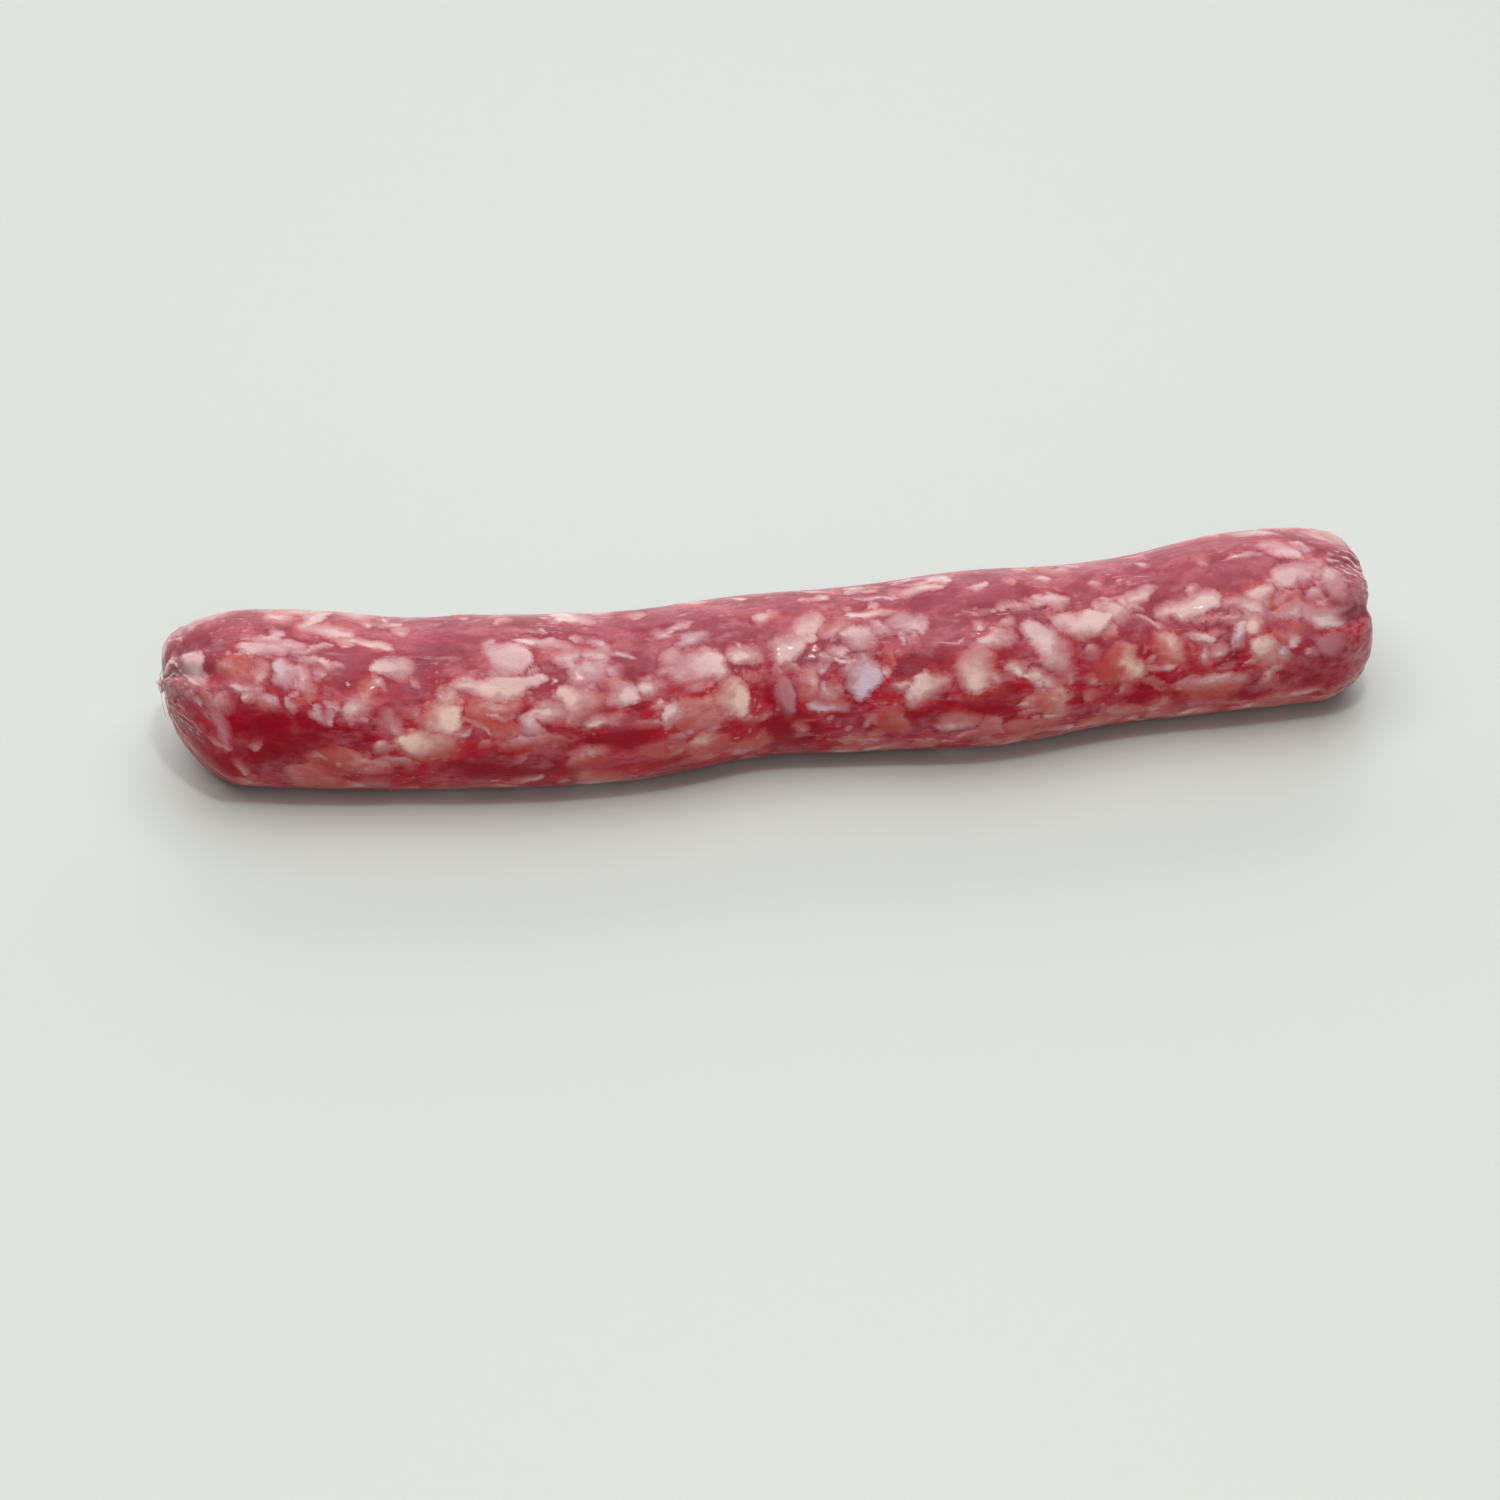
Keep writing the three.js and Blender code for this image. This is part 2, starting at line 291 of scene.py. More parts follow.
# Thin strips of sinew and fat that the mincer drew out along the sausage
STREAKS = 120
STREAK_LENGTH = (3, 9)

# How a piece of fat lies in the lean
FAT_BULGE = 0.15  # the casing is pushed out over a firm piece
TORN_BIG = (0.85, 4.2)  # how far its edge wanders, and over what distance
TORN_SMALL = (0.45, 1.7)
CORNERS = 2.2  # 2 makes round pieces, more makes them squarer
MELTED = 0.4  # how far the lobes of a piece run into each other
SOFT_EDGE = (0.7, 1.8)  # least and most stretch of the fade from fat to lean at its edge
SOFT_SIDE = 0.65  # the deeper side fades out more softly, the other more sharply
TILT = (0.15, 1.1)  # how much deeper one side of a piece lies than its middle
GAP = 0.3  # how far the edges of two pieces that touch draw back, so that lean shows between
DEEPEST = 2.5  # lean thicker than this hides fat
OUTSIDE = -4.0  # no fat near
GLOW_REACH = 1.3  # light that entered fat comes out this far round it

# The view of the photograph
PHOTO_SIDE = 1500
VIEW_AZIMUTH = math.radians(-7.5)
VIEW_ELEVATION = math.radians(37)
VIEW_DISTANCE = 0.9
PIXEL_AT_SUBJECT = 0.1744 * MM
SENSOR = 36
MIDDLE_HEIGHT = 14 * MM
AIM_RIGHT = 3.1 * MM  # how far the sausage's middle stands from the picture's
AIM_UP = 14.8 * MM

# The studio, in metres and watts: each softbox's name, place, size and power. The glint is small, so that it
# shows as bright dots on the wet casing
SOFTBOXES = [
    ("overhead", (-0.05, 0.08, 1.0), (1.6, 1.2), 11.6),
    ("backdrop", (0, 1.5, 0.55), (3.0, 1.0), 14.5),
    ("front", (0.05, -1.0, 0.6), (0.8, 0.8), 2.8),
    ("glint", (0.04, -0.35, 1.0), (0.09, 0.09), 2.3),
]
ROOM_LIGHT = 0.15
FLOOR = 6.0  # each side of the floor


def bell(distance, reach):
    return np.exp(-0.5 * (distance / reach) ** 2)


def turn(start, end):
    """The shortest turn from one angle to another."""
    return np.arctan2(np.sin(end - start), np.cos(end - start))


def ease(share):
    share = np.clip(share, 0, 1)
    return share * share * (3 - 2 * share)


def near_end(distance, reach):
    """1 at a tip, and nothing from the reach onwards."""
    return ease(1 - distance / reach)


def middle_line(points, steps=400):
    """A Catmull-Rom curve through the bow's points: distances along and places across."""
    at = np.array([(along, -out) for along, out in points], float)
    before = np.vstack([at[:1], at[:-1]])
    after = np.vstack([at[1:], at[-1:]])
    speed = (after - before) / 2
    t = np.linspace(0, len(at) - 1, steps + 1)
    i = np.minimum(t.astype(int), len(at) - 2)
    w = (t - i)[:, None]
    ends = (2 * w**3 - 3 * w**2 + 1) * at[i] + (3 * w**2 - 2 * w**3) * at[i + 1]
    return ends + (w**3 - 2 * w**2 + w) * speed[i] + (w**3 - w**2) * speed[i + 1]


MIDDLE = middle_line(BOW)
MIDDLE_SLOPE = np.gradient(MIDDLE[:, 1], MIDDLE[:, 0])


def settled(height):
    """Soft meat rests flat: what would lie under the surface spreads on it, with a short curve up."""
    low = (np.clip(height, -SETTLE_EDGE, SETTLE_EDGE) + SETTLE_EDGE) ** 2 / (4 * SETTLE_EDGE)
    return np.where(height >= SETTLE_EDGE, height, low)


def pleat_depth(angle, seed):
    """How far the pleats of a gathered end cut in, as a share of its radius."""
    uneven = 0.5 * np.sin(2 * angle + seed) + 0.3 * np.sin(5 * angle + 2 * seed)
    fold = 0.5 + 0.5 * np.cos(PLEATS * angle + 2.2 * uneven + seed)
    return PLEAT_DEPTH * fold**1.5 * (0.65 + 0.35 * np.sin(3 * angle + seed))


def place(along, angle, radius):
    """Takes points of a plain sausage to their places on the real one."""
    to_tip = LENGTH - along
    pointed = near_end(along, POINTED_END["cap"] * PLEAT_REACH)
    blunt = near_end(to_tip, BLUNT_END["cap"] * PLEAT_REACH)
    slack = 1 - 0.85 * bell(turn(FULL_LOBE, angle), FULL_LOBE_REACH)
    pleats = pointed * pleat_depth(angle, 1.3) + blunt * slack * pleat_depth(angle, 4.1)
    furrow = FURROW_DEPTH * near_end(to_tip, FURROW_LENGTH) * bell(turn(FURROW_ANGLE, angle), FURROW_WIDTH)
    full = 1 + sum(by * bell(along - at, reach) for at, reach, by in SWELLS)
    share = radius * (1 - pleats)
    side = (WIDTH / 2 * full * share - radius * furrow) * np.cos(angle)
    up = (HEIGHT / 2 * full * share - radius * furrow) * np.sin(angle)
    heading = np.arctan(np.interp(along, MIDDLE[:, 0], MIDDLE_SLOPE))
    pull = near_end(along, POINTED_END["cap"]) ** END_EASE
    push = near_end(to_tip, BLUNT_END["cap"]) ** END_EASE
    reach = radius * np.cos(turn(SLANT_ANGLE, angle))
    further = (push * BLUNT_END["slant"] - pull * POINTED_END["slant"]) * reach
    shift = pull * POINTED_END["aside"] + push * BLUNT_END["aside"]
    lift = pull * POINTED_END["raised"] + push * BLUNT_END["raised"]
    x = along + further - side * np.sin(heading)
    y = np.interp(along, MIDDLE[:, 0], MIDDLE[:, 1]) + shift + side * np.cos(heading)
    z = settled(HEIGHT / 2 * full * (1 - SETTLED) + lift + up)
    return np.stack([x, y, z], -1)


def twist_points(tip, lean):
    """A short twisted end of casing, like the neck of a tied balloon, from inside the meat outwards."""
    root, neck, rim = TWIST_LENGTH * 0.8, TWIST_NECK, TWIST_RIM
    outline = [
        (0, -root),
        (neck * 1.6, -root),
        (neck * 1.3, 0),
        (neck, TWIST_LENGTH * 0.25),
        (neck * 1.15, TWIST_LENGTH * 0.55),
        (rim, TWIST_LENGTH * 0.95),
        (rim * 0.85, TWIST_LENGTH),
        (neck * 0.5, TWIST_LENGTH * 0.75),
        (0, TWIST_LENGTH * 0.7),
    ]
    radius, along = np.array(outline).T
    along, angle = np.meshgrid(along, np.arange(TWIST_SIDES) * 2 * math.pi / TWIST_SIDES, indexing="ij")
    lobe = 1 + TWIST_RIPPLE * np.cos(TWIST_LOBES * angle + TWIST_TURN * along / TWIST_LENGTH)
    radius = radius[:, None] * lobe
    plain = np.stack([radius * np.sin(angle), along, radius * np.cos(angle)], -1)
    turned = Vector((0, 1, 0)).rotation_difference(Vector(lean)).to_matrix()
    return plain @ np.array(turned).T + tip


def cap_profile(end):
    """Radius as a share and distance from the tip, from the puckered middle outwards."""
    swing = np.linspace(0, math.pi / 2, CAP_RINGS + 1)
    radius = np.sin(swing) ** (2 * end["taper"])
    return radius, end["cap"] * (1 - np.cos(swing)) + end["sink"] * bell(radius, PUCKER_WIDTH)


def profile():
    """Radius as a share and distance along of every ring, from the pointed tip to the blunt one."""
    near_radius, near = cap_profile(POINTED_END)
    far_radius, far = cap_profile(BLUNT_END)
    body = np.linspace(POINTED_END["cap"], LENGTH - BLUNT_END["cap"], BODY_RINGS + 2)[1:-1]
    radius = np.concatenate([near_radius, np.ones(BODY_RINGS), far_radius[::-1]])
    return radius, np.concatenate([near, body, LENGTH - far[::-1]])


def wander(points, distance, seed):
    """Smooth noise from -1 to 1 at each point, that changes over the distance given."""
    shift = Vector((seed * 17.3, seed * 7.1, seed * 3.7))
    flat = points.reshape(-1, 3) / distance
    return np.array([noise.noise(Vector(p) + shift) for p in flat]).reshape(points.shape[:-1])


def hidden_fat():
    """Random pieces on the back and underside, where the photograph doesn't show any."""
    draw = random.Random(31)
    pieces = []
    while len(pieces) < HIDDEN_FAT:
        at = draw.uniform(2, LENGTH - 2)
        angle = draw.uniform(0, 360)
        size = FAT_LENGTH[0] + (FAT_LENGTH[1] - FAT_LENGTH[0]) * draw.random() ** 1.6
        slim = draw.uniform(*FAT_SLIMNESS)
        slant = draw.gauss(0, 32)
        lean_over = max(0, draw.gauss(0.1, 0.3))
        tone = draw.triangular(-0.8, 1, 0.2)
        if not FRONT_EDGE[0] < angle < FRONT_EDGE[1]:
            pieces.append((at, angle, size, size * slim, slant, lean_over, tone))
    return pieces


def lobes_of(length, width, draw):
    """A piece of minced fat is a few rounded lobes: place along and across it, and half sizes."""
    lobes = [(draw.uniform(-0.08, 0.08) * length, 0, 0.34 * length, 0.44 * width)]
    for way in (-1, 1):
        along = way * draw.uniform(0.2, 0.32) * length
        across = draw.uniform(-0.3, 0.3) * width
        lobes.append((along, across, draw.uniform(0.16, 0.24) * length, draw.uniform(0.2, 0.36) * width))
    along = draw.uniform(-0.3, 0.3) * length
    across = draw.choice((-1, 1)) * draw.uniform(0.3, 0.45) * width
    lobes.append((along, across, draw.uniform(0.1, 0.18) * length, draw.uniform(0.14, 0.25) * width))
    return lobes


def plain_lean(along, angle, straight):
    """How much each point lies in one of the plain stretches of lean, and the lean's tone there."""
    ragged = LEAN_RAGGED * wander(straight, 4, 7) + LEAN_RAGGED / 2 * wander(straight, 1.6, 8)
    plain = np.zeros(along.shape)
    tone = np.zeros(along.shape)
    for at, degrees, length, width, patch_tone in FRONT_LEAN:
        across = turn(math.radians(degrees), angle) * MEAN_RADIUS
        away = np.hypot(2 * (along - at) / length, 2 * across / width) + ragged
        share = ease((LEAN_EDGE[1] - away) / (LEAN_EDGE[1] - LEAN_EDGE[0]))
        tone += (patch_tone - tone) * share
        plain = np.maximum(plain, share)
    return plain, tone


def torn_edge(straight, seed):
    """How far the edges of fat wander at each point, in large tears and small ones."""
    large = TORN_BIG[0] * wander(straight, TORN_BIG[1], seed)
    return large + TORN_SMALL[0] * wander(straight, TORN_SMALL[1], seed + 1)


def within_lobes(u, v, lobes):
    """How far each point lies inside the edge of a piece, whose lobes run into each other."""
    together = 0
    for at_u, at_v, half_length, half_width in lobes:
        lobe_u, lobe_v = np.abs(u - at_u), np.abs(v - at_v)
        share = ((lobe_u / half_length) ** CORNERS + (lobe_v / half_width) ** CORNERS) ** (1 / CORNERS)
        size = np.hypot(lobe_u, lobe_v) / np.maximum(share, 0.01)
        together = together + np.exp(np.maximum((1 - share) * size, -9) / MELTED)
    return np.maximum(MELTED * np.log(together), OUTSIDE)


def lay_fat(along, angle, straight, plain):
    """Lays every piece of fat in the casing. Gives for each point how far it lies inside the fat's edge, the
    lean over the fat, its tone, the glow of fat near by and how softly the edge fades, then how far the
    casing is pushed out."""
    rings, sides = along.shape
    torn_x, torn_s = torn_edge(straight, 1), torn_edge(straight, 3)
    inside = np.full(along.shape, OUTSIDE)
    depth = np.full(along.shape, DEEPEST)
    tone = np.zeros(along.shape)
    glow = np.zeros(along.shape)
    bulge = np.zeros(along.shape)
    soft = np.full(along.shape, SOFT_EDGE[0])
    # How clearly the two pieces that lie over each other at a point show there
    first = np.full(along.shape, OUTSIDE)
    second = np.full(along.shape, OUTSIDE)
    draw = random.Random(5)

    def lay(at, degrees, length, width, slant, lean_over, piece_tone):
        cos, sin = math.cos(math.radians(slant)), math.sin(math.radians(slant))
        # Low on the front the fat is drawn deeper, darker and redder: painted shade
        lean_over += LOW_SIDE_SHADE * bell(turn(LOW_SIDE, math.radians(degrees)), LOW_REACH)
        lobes = lobes_of(length, width, draw)
        deep_side = draw.uniform(0, 2 * math.pi)
        # A wide piece tilts more, and so does a sunken one
        tilt = draw.uniform(*TILT) * min(1, width / 5) * (0.4 + 0.45 * lean_over)
        warm = draw.uniform(0.25, 1) * (0.65 + 0.5 * piece_tone) * min(1, width / 3)
        blur = SOFT_EDGE[0] + (SOFT_EDGE[1] - SOFT_EDGE[0]) * min(1, lean_over + 0.5 * draw.random() ** 2)
        blur *= 0.7 + 0.3 * min(1, width / 3)
        near = np.flatnonzero(np.abs(along[:, 0] - at) < length / 2 + 5)
        rows = slice(near[0], near[-1] + 1)
        dx = along[rows] - at + torn_x[rows]
        ds = turn(math.radians(degrees), angle[rows]) * MEAN_RADIUS + torn_s[rows]
        u = dx * cos + ds * sin
        v = ds * cos - dx * sin
        away = np.hypot(2 * u / length, 2 * v / width)
        towards_deep = np.cos(np.arctan2(2 * v / width, 2 * u / length) - deep_side)
        within = within_lobes(u, v, lobes)
        sunk = np.clip(lean_over + tilt * (away * towards_deep - 0.3), 0, DEEPEST)
        # A large piece that lies shallow pushes the casing out most
        firm = min(1, width / 4.5) * (1 - 0.6 * min(1, lean_over))
        pushed = FAT_BULGE * firm * ease((within + 0.5) / 1.6) * (1 - 0.4 * np.clip(sunk, 0, 1))
        bulge[rows] = np.maximum(bulge[rows], pushed)
        glow[rows] = np.maximum(glow[rows], warm * np.exp(np.minimum(within, 0) / GLOW_REACH))
        score = np.minimum(within, 1) - sunk
        better = score > first[rows]
        second[rows] = np.where(better, first[rows], np.maximum(second[rows], score))
        fade = blur * (1 + SOFT_SIDE * towards_deep)
        shown = (first, score), (inside, within), (depth, sunk), (tone, piece_tone), (soft, fade)
        for held, value in shown:
            held[rows] = np.where(better, value, held[rows])

    for piece in FRONT_FAT + hidden_fat():
        lay(*piece)
    for _ in range(STREAKS):
        ring, side = draw.randrange(10, rings - 10), draw.randrange(sides)
        at, degrees = along[ring, side], math.degrees(angle[ring, side])
        size, wide = draw.uniform(*STREAK_LENGTH), draw.uniform(0.7, 1.2)
        slant, lean_over, piece_tone = draw.gauss(0, 12), draw.uniform(0, 0.35), draw.uniform(-0.5, 0.2)
        if draw.random() > plain[ring, side]:
            lay(at, degrees, size, wide, slant, lean_over, piece_tone)
    big = inside.copy()
    for _ in range(CRUMBS):
        ring, side = draw.randrange(4, rings - 4), draw.randrange(sides)
        at, degrees = along[ring, side], math.degrees(angle[ring, side])
        chance = 0.85 if big[ring, side] > CRUMB_NEAR else 0.3
        size = CRUMB_LENGTH[0] + (CRUMB_LENGTH[1] - CRUMB_LENGTH[0]) * draw.random() ** 2
        slim, slant = draw.uniform(0.3, 0.8), draw.gauss(0, 40)
        lean_over, piece_tone = max(0, draw.gauss(0.1, 0.4)), draw.uniform(-0.6, 0.5)
        if draw.random() < chance * (1 - plain[ring, side]):
            lay(at, degrees, size, size * slim, slant, lean_over, piece_tone)
    meeting = np.clip(1 - (first - second) / 0.7, 0, 1) * np.clip(1 + 2 * second, 0, 1)
    fat = dict(inside=inside - GAP * meeting, depth=depth, tone=tone, glow=glow, soft=soft)
    return fat, bulge


def gathered(along, angle, straight):
    """Fine sharp folds that run into each puckered end: how high each point lies on one, 1 on a crest and -1
    between two, fading out along the sausage."""
    fold = np.zeros(along.shape)
    turned = FOLD_WANDER[0] * wander(straight, FOLD_WANDER[1], 9)
    full_lobe = 1 - 0.8 * bell(turn(FULL_LOBE, angle), FULL_LOBE_REACH) * (along > LENGTH / 2)
    for distance, seed, reach in ((along, 0.7, FOLD_REACH[0]), (LENGTH - along, 2.9, FOLD_REACH[1])):
        spun = angle + turned + FOLD_SPIRAL * distance * np.sin(seed + 2 * angle)
        uneven = 1.9 * np.sin(2 * spun + seed) + 1.1 * np.sin(5 * spun + 3 * seed)
        ridge = np.abs(np.cos((FOLDS / 2) * spun + uneven)) ** FOLD_SHARPNESS
        rise = near_end(distance, reach * (1 + 0.3 * np.sin(3 * spun + 5 * seed)))
        fold += (1.5 * ridge - 0.5) * rise * (0.6 + 0.4 * np.sin(4 * spun + 2 * seed)) * full_lobe
    furrow = near_end(LENGTH - along, FURROW_LENGTH) * bell(turn(FURROW_ANGLE, angle), FURROW_WIDTH * 0.6)
    return fold - 1.2 * furrow


def normals_of(points):
    """Outward normals of a grid of points whose second direction closes on itself."""
    along = np.gradient(points, axis=0)
    across = np.roll(points, -1, axis=1) - np.roll(points, 1, axis=1)
    normal = np.cross(across, along)
    return normal / np.maximum(np.linalg.norm(normal, axis=-1, keepdims=True), 1e-9)


def grid_mesh(name, points):
    """A closed skin over rings of points, whose first and last ring are single points."""
    rings, sides = points.shape[:2]
    tips = np.array([points[0].mean(0), points[-1].mean(0)])
    inner = points[1:-1].reshape(-1, 3)
    verts = np.vstack([inner, tips])
    count = rings - 2
    i, j = np.meshgrid(np.arange(count - 1), np.arange(sides), indexing="ij")
    k = (j + 1) % sides
    quads = np.stack([i * sides + j, i * sides + k, (i + 1) * sides + k, (i + 1) * sides + j], -1)
    faces = [tuple(quad) for quad in quads.reshape(-1, 4).tolist()]
    near, far = len(inner), len(inner) + 1
    last = (count - 1) * sides
    for side in range(sides):
        beside = (side + 1) % sides
        faces.append((near, beside, side))
        faces.append((far, last + side, last + beside))
    mesh = bpy.data.meshes.new(name)
    mesh.from_pydata((verts * MM).tolist(), [], faces)
    mesh.update()
    return mesh


def skin_values(values):
    """A grid's values in the order of grid_mesh's vertices."""
    inner = values[1:-1].reshape((-1,) + values.shape[2:])
    return np.concatenate([inner, values[0].mean(0)[None], values[-1].mean(0)[None]])


def add_values(mesh, name, values):
    """Stores one number, or one vector, for each vertex, which the material reads by name."""
    kind = "FLOAT_VECTOR" if values.ndim > 1 else "FLOAT"
    layer = mesh.attributes.new(name, kind, "POINT")
    layer.data.foreach_set("vector" if values.ndim > 1 else "value", values.astype(np.float32).ravel())


def unroll(mesh, along, angle):
    """Lays the casing out flat: distance along, and the way round from the underside."""
    layer = mesh.uv_layers.new(name="OFBake")
    count = len(mesh.loops)
    vertex = np.zeros(count, np.int32)
    mesh.loops.foreach_get("vertex_index", vertex)
    u = 0.01 + 0.98 * skin_values(along)[vertex] / LENGTH
    round_from_below = np.mod(skin_values(angle) / (2 * math.pi) + 0.25, 1)
    v = round_from_below[vertex]
    start = np.zeros(len(mesh.polygons), np.int32)
    total = np.zeros(len(mesh.polygons), np.int32)
    mesh.polygons.foreach_get("loop_start", start)
    mesh.polygons.foreach_get("loop_total", total)
    face = np.repeat(np.arange(len(start)), total)
    highest = np.maximum.reduceat(v, start)[face]
    v = np.where((highest > 0.7) & (v < 0.3), v + 1, v)
    tips = vertex >= len(mesh.vertices) - 2
    beside = np.where(tips, 0, v)
    mean = np.add.reduceat(beside, start) / np.maximum(total - np.add.reduceat(tips.astype(int), start), 1)
    v = np.where(tips, mean[face], v)
    v = 0.01 + 0.97 * v
    layer.data.foreach_set("uv", np.stack([u, v], -1).astype(np.float32).ravel())


def add_piece(name, mesh):
    mesh.polygons.foreach_set("use_smooth", [True] * len(mesh.polygons))
    piece = bpy.data.objects.new(name, mesh)
    bpy.context.scene.collection.objects.link(piece)
    return piece


def build_sausage():
    """The meat in its casing, and the middles of its two puckered tips."""
    radius, at = profile()
    angles = np.arange(AROUND) * 2 * math.pi / AROUND
    along, angle = np.meshgrid(at, angles, indexing="ij")
    radius = np.repeat(radius[:, None], AROUND, 1)
    base = place(along, angle, radius)
    # The same points on a straight round sausage, which the patterns of meat follow
    reach = MEAN_RADIUS * radius
    straight = np.stack([along, reach * np.cos(angle), reach * np.sin(angle)], -1)
    plain, lean_tone = plain_lean(along, angle, straight)
    fat, bulge = lay_fat(along, angle, straight, plain)
    fold = gathered(along, angle, straight)
    ripple = sum(high * wander(straight * (short, 1, 1), size, seed) for high, size, short, seed in RIPPLES)
    folded = FOLD_HEIGHT * np.maximum(fold, FOLD_LOWEST) * np.minimum(1, 4 * radius)
    relief = (bulge + ripple) * np.minimum(1, 2 * radius) + folded
    points = base + normals_of(base) * relief[..., None]
    # The strip that rests on the floor stays flat
    points[..., 2] = np.maximum(points[..., 2], 0)
    resting = base[..., 2] < 1e-6
    points[resting] = base[resting]

    # The solid stands with the middle of its box over the origin, its twisted ends included, and so does this
    tips = place(np.array([POINTED_END["sink"], LENGTH - BLUNT_END["sink"]]), 0, 0)
    twists = [twist_points(tip, lean) for tip, lean in zip(tips, (POINTED_TWIST, BLUNT_TWIST))]
    every = np.concatenate([grid.reshape(-1, 3) for grid in [base] + twists])
    solid_low, solid_high = (np.array(corner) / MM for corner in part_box("sausage"))
    shift = (solid_low + solid_high - every.min(0) - every.max(0)) / 2
    shift[2] = 0

    mesh = grid_mesh("sausage_meat", points + shift)
    values = dict(fat, plain=plain, lean_tone=lean_tone, upwards=np.sin(angle), fold=fold, straight=straight)
    for name, value in values.items():
        add_values(mesh, name, skin_values(value))
    unroll(mesh, along, angle)
    return add_piece("sausage_meat", mesh), tips + shift


def shred_points(start, way, curl, length, width):
    """A shred of torn casing: a thin flat strip that curls and tapers."""
    way, curl = np.array(way) / np.linalg.norm(way), np.array(curl, float)
    along = np.linspace(0, 1, SHRED_STEPS)[:, None]
    line = start + length * (way * along + curl * along**2)
    across = np.cross(way, curl)
    across /= np.linalg.norm(across)
    thick = np.cross(way, across)
    round_it = np.arange(SHRED_SIDES) * 2 * math.pi / SHRED_SIDES
    taper = (np.sqrt(np.clip(1 - along**2.5, 0, 1)) * (0.7 + 0.3 * np.sin(9 * along)))[..., None]
    flat = width / 2 * np.cos(round_it)[:, None] * across
    return line[:, None] + taper * (flat + SHRED_THICK / 2 * np.sin(round_it)[:, None] * thick)


def build_casing_ends(tips):
    """The twisted ends of the casing, with their shreds."""
    parts = [tip + STUB_SIZE * (twist_points(tip, lean) - tip) for tip, lean in zip(tips, STUB_LEANS)]
    for end, way, curl, length, width in SHREDS:
        parts.append(shred_points(tips[end], way, curl, length, width))
    meshes = [grid_mesh("casing_end", points) for points in parts]
    return [add_piece(f"casing_end_{number}", mesh) for number, mesh in enumerate(meshes)]


def colour(code):
    """Linear colour of an sRGB hex value."""
    parts = [int(code[i : i + 2], 16) / 255 for i in (1, 3, 5)]
    return [p / 12.92 if p <= 0.04045 else ((p + 0.055) / 1.055) ** 2.4 for p in parts] + [1]


def add(tree, kind, inputs=None, stops=(), **settings):
    """Adds one shader node with its settings. Inputs, by name or number, are links, values or sRGB hex
    colours. Stops are the places from 0 to 1 and the colours of a run of colours."""
    node = tree.nodes.new("ShaderNode" + kind)
    for key, value in settings.items():
        setattr(node, key, value)
    for key, value in (inputs or {}).items():
        if isinstance(value, bpy.types.NodeSocket):
            tree.links.new(value, node.inputs[key])
        else:
            node.inputs[key].default_value = colour(value) if isinstance(value, str) else value
    for share, _ in stops[1:-1]:
        node.color_ramp.elements.new(share)
    for number, (share, code) in enumerate(stops):
        node.color_ramp.elements[number].position = share
        node.color_ramp.elements[number].color = colour(code)
    return node


def new_material(name):
    material = bpy.data.materials.new(name)
    material.use_nodes = True
    material.node_tree.nodes.clear()
    return material, material.node_tree


def coat(tree, under, tint, strength, *gates):
    """Lays a colour over another where every gate is open. A gate is a pattern, the value where it starts to
    open and the value where it is open."""
    share = strength
    for pattern, shut, opened in gates:
        inputs = {0: pattern, 1: shut, 2: opened, 3: 0, 4: share}
        share = add(tree, "MapRange", inputs, interpolation_type="SMOOTHSTEP").outputs[0]
    return add(tree, "Mix", {0: share, 6: under, 7: tint}, data_type="RGBA").outputs[2]


# Patterns of minced meat: size in mm, detail, roughness, and how much they stretch along the sausage,
# because the mix is pressed along the casing when it is filled
PATTERNS = dict(
    sway=(7, 2, 0.5, 1.6),  # bends the chunks and fibres
    cloud=(5.5, 3, 0.55, 1.6),  # thin film over the lean
    sunken=(4.2, 3, 0.6, 1.6),  # fat that shows through the lean
    blotch=(3.2, 3, 0.6, 1.6),  # darker and lighter lean
    crowd=(8, 2, 0.5, 1.6),  # where small crumbs gather
    wisp=(2.6, 3, 0.55, 3.5),  # sinews, drawn out
    lump=(2.4, 3, 0.6, 1.4),  # thicker and thinner parts of a piece of fat
    torn=(1.6, 3, 0.6, 1.4),  # the ragged edge of a piece
    crease=(2.2, 0, 0.5, 6),  # fine folds in the casing, drawn out along it
    mottle=(1.3, 4, 0.65, 1.6),  # fine change all over
    grain=(0.8, 3, 0.6, 1.2),  # fat cells in clusters, drawn as coarse as they need to show
    fringe=(0.5, 2, 0.5, 1.2),  # the finest raggedness
    wet=(2.0, 0, 0.5, 1.5),  # the film of juice over the casing, smoother than the meat
)
CHUNK = 7.5  # lean minced through a plate with 8 mm holes
CHUNK_BEND = 7  # how far the edges of chunks and fibres wander
FIBRE = (0.9, 4.5)  # bundles of muscle fibre, across and along
SMALL_CRUMBS = [(2.0, 11.3, 0.75), (1.1, 37.1, 0.45)]  # size, shift of the pattern, and strength
CLOUDED_FROM = (11, 3)  # how far from a tip the gathered casing starts to cloud the meat, and does so fully
BUMP_HEIGHT = 0.5 * MM  # the highest of the fine unevenness
CASING_CLOUD = 1.2 * MM  # milky patches in bare casing


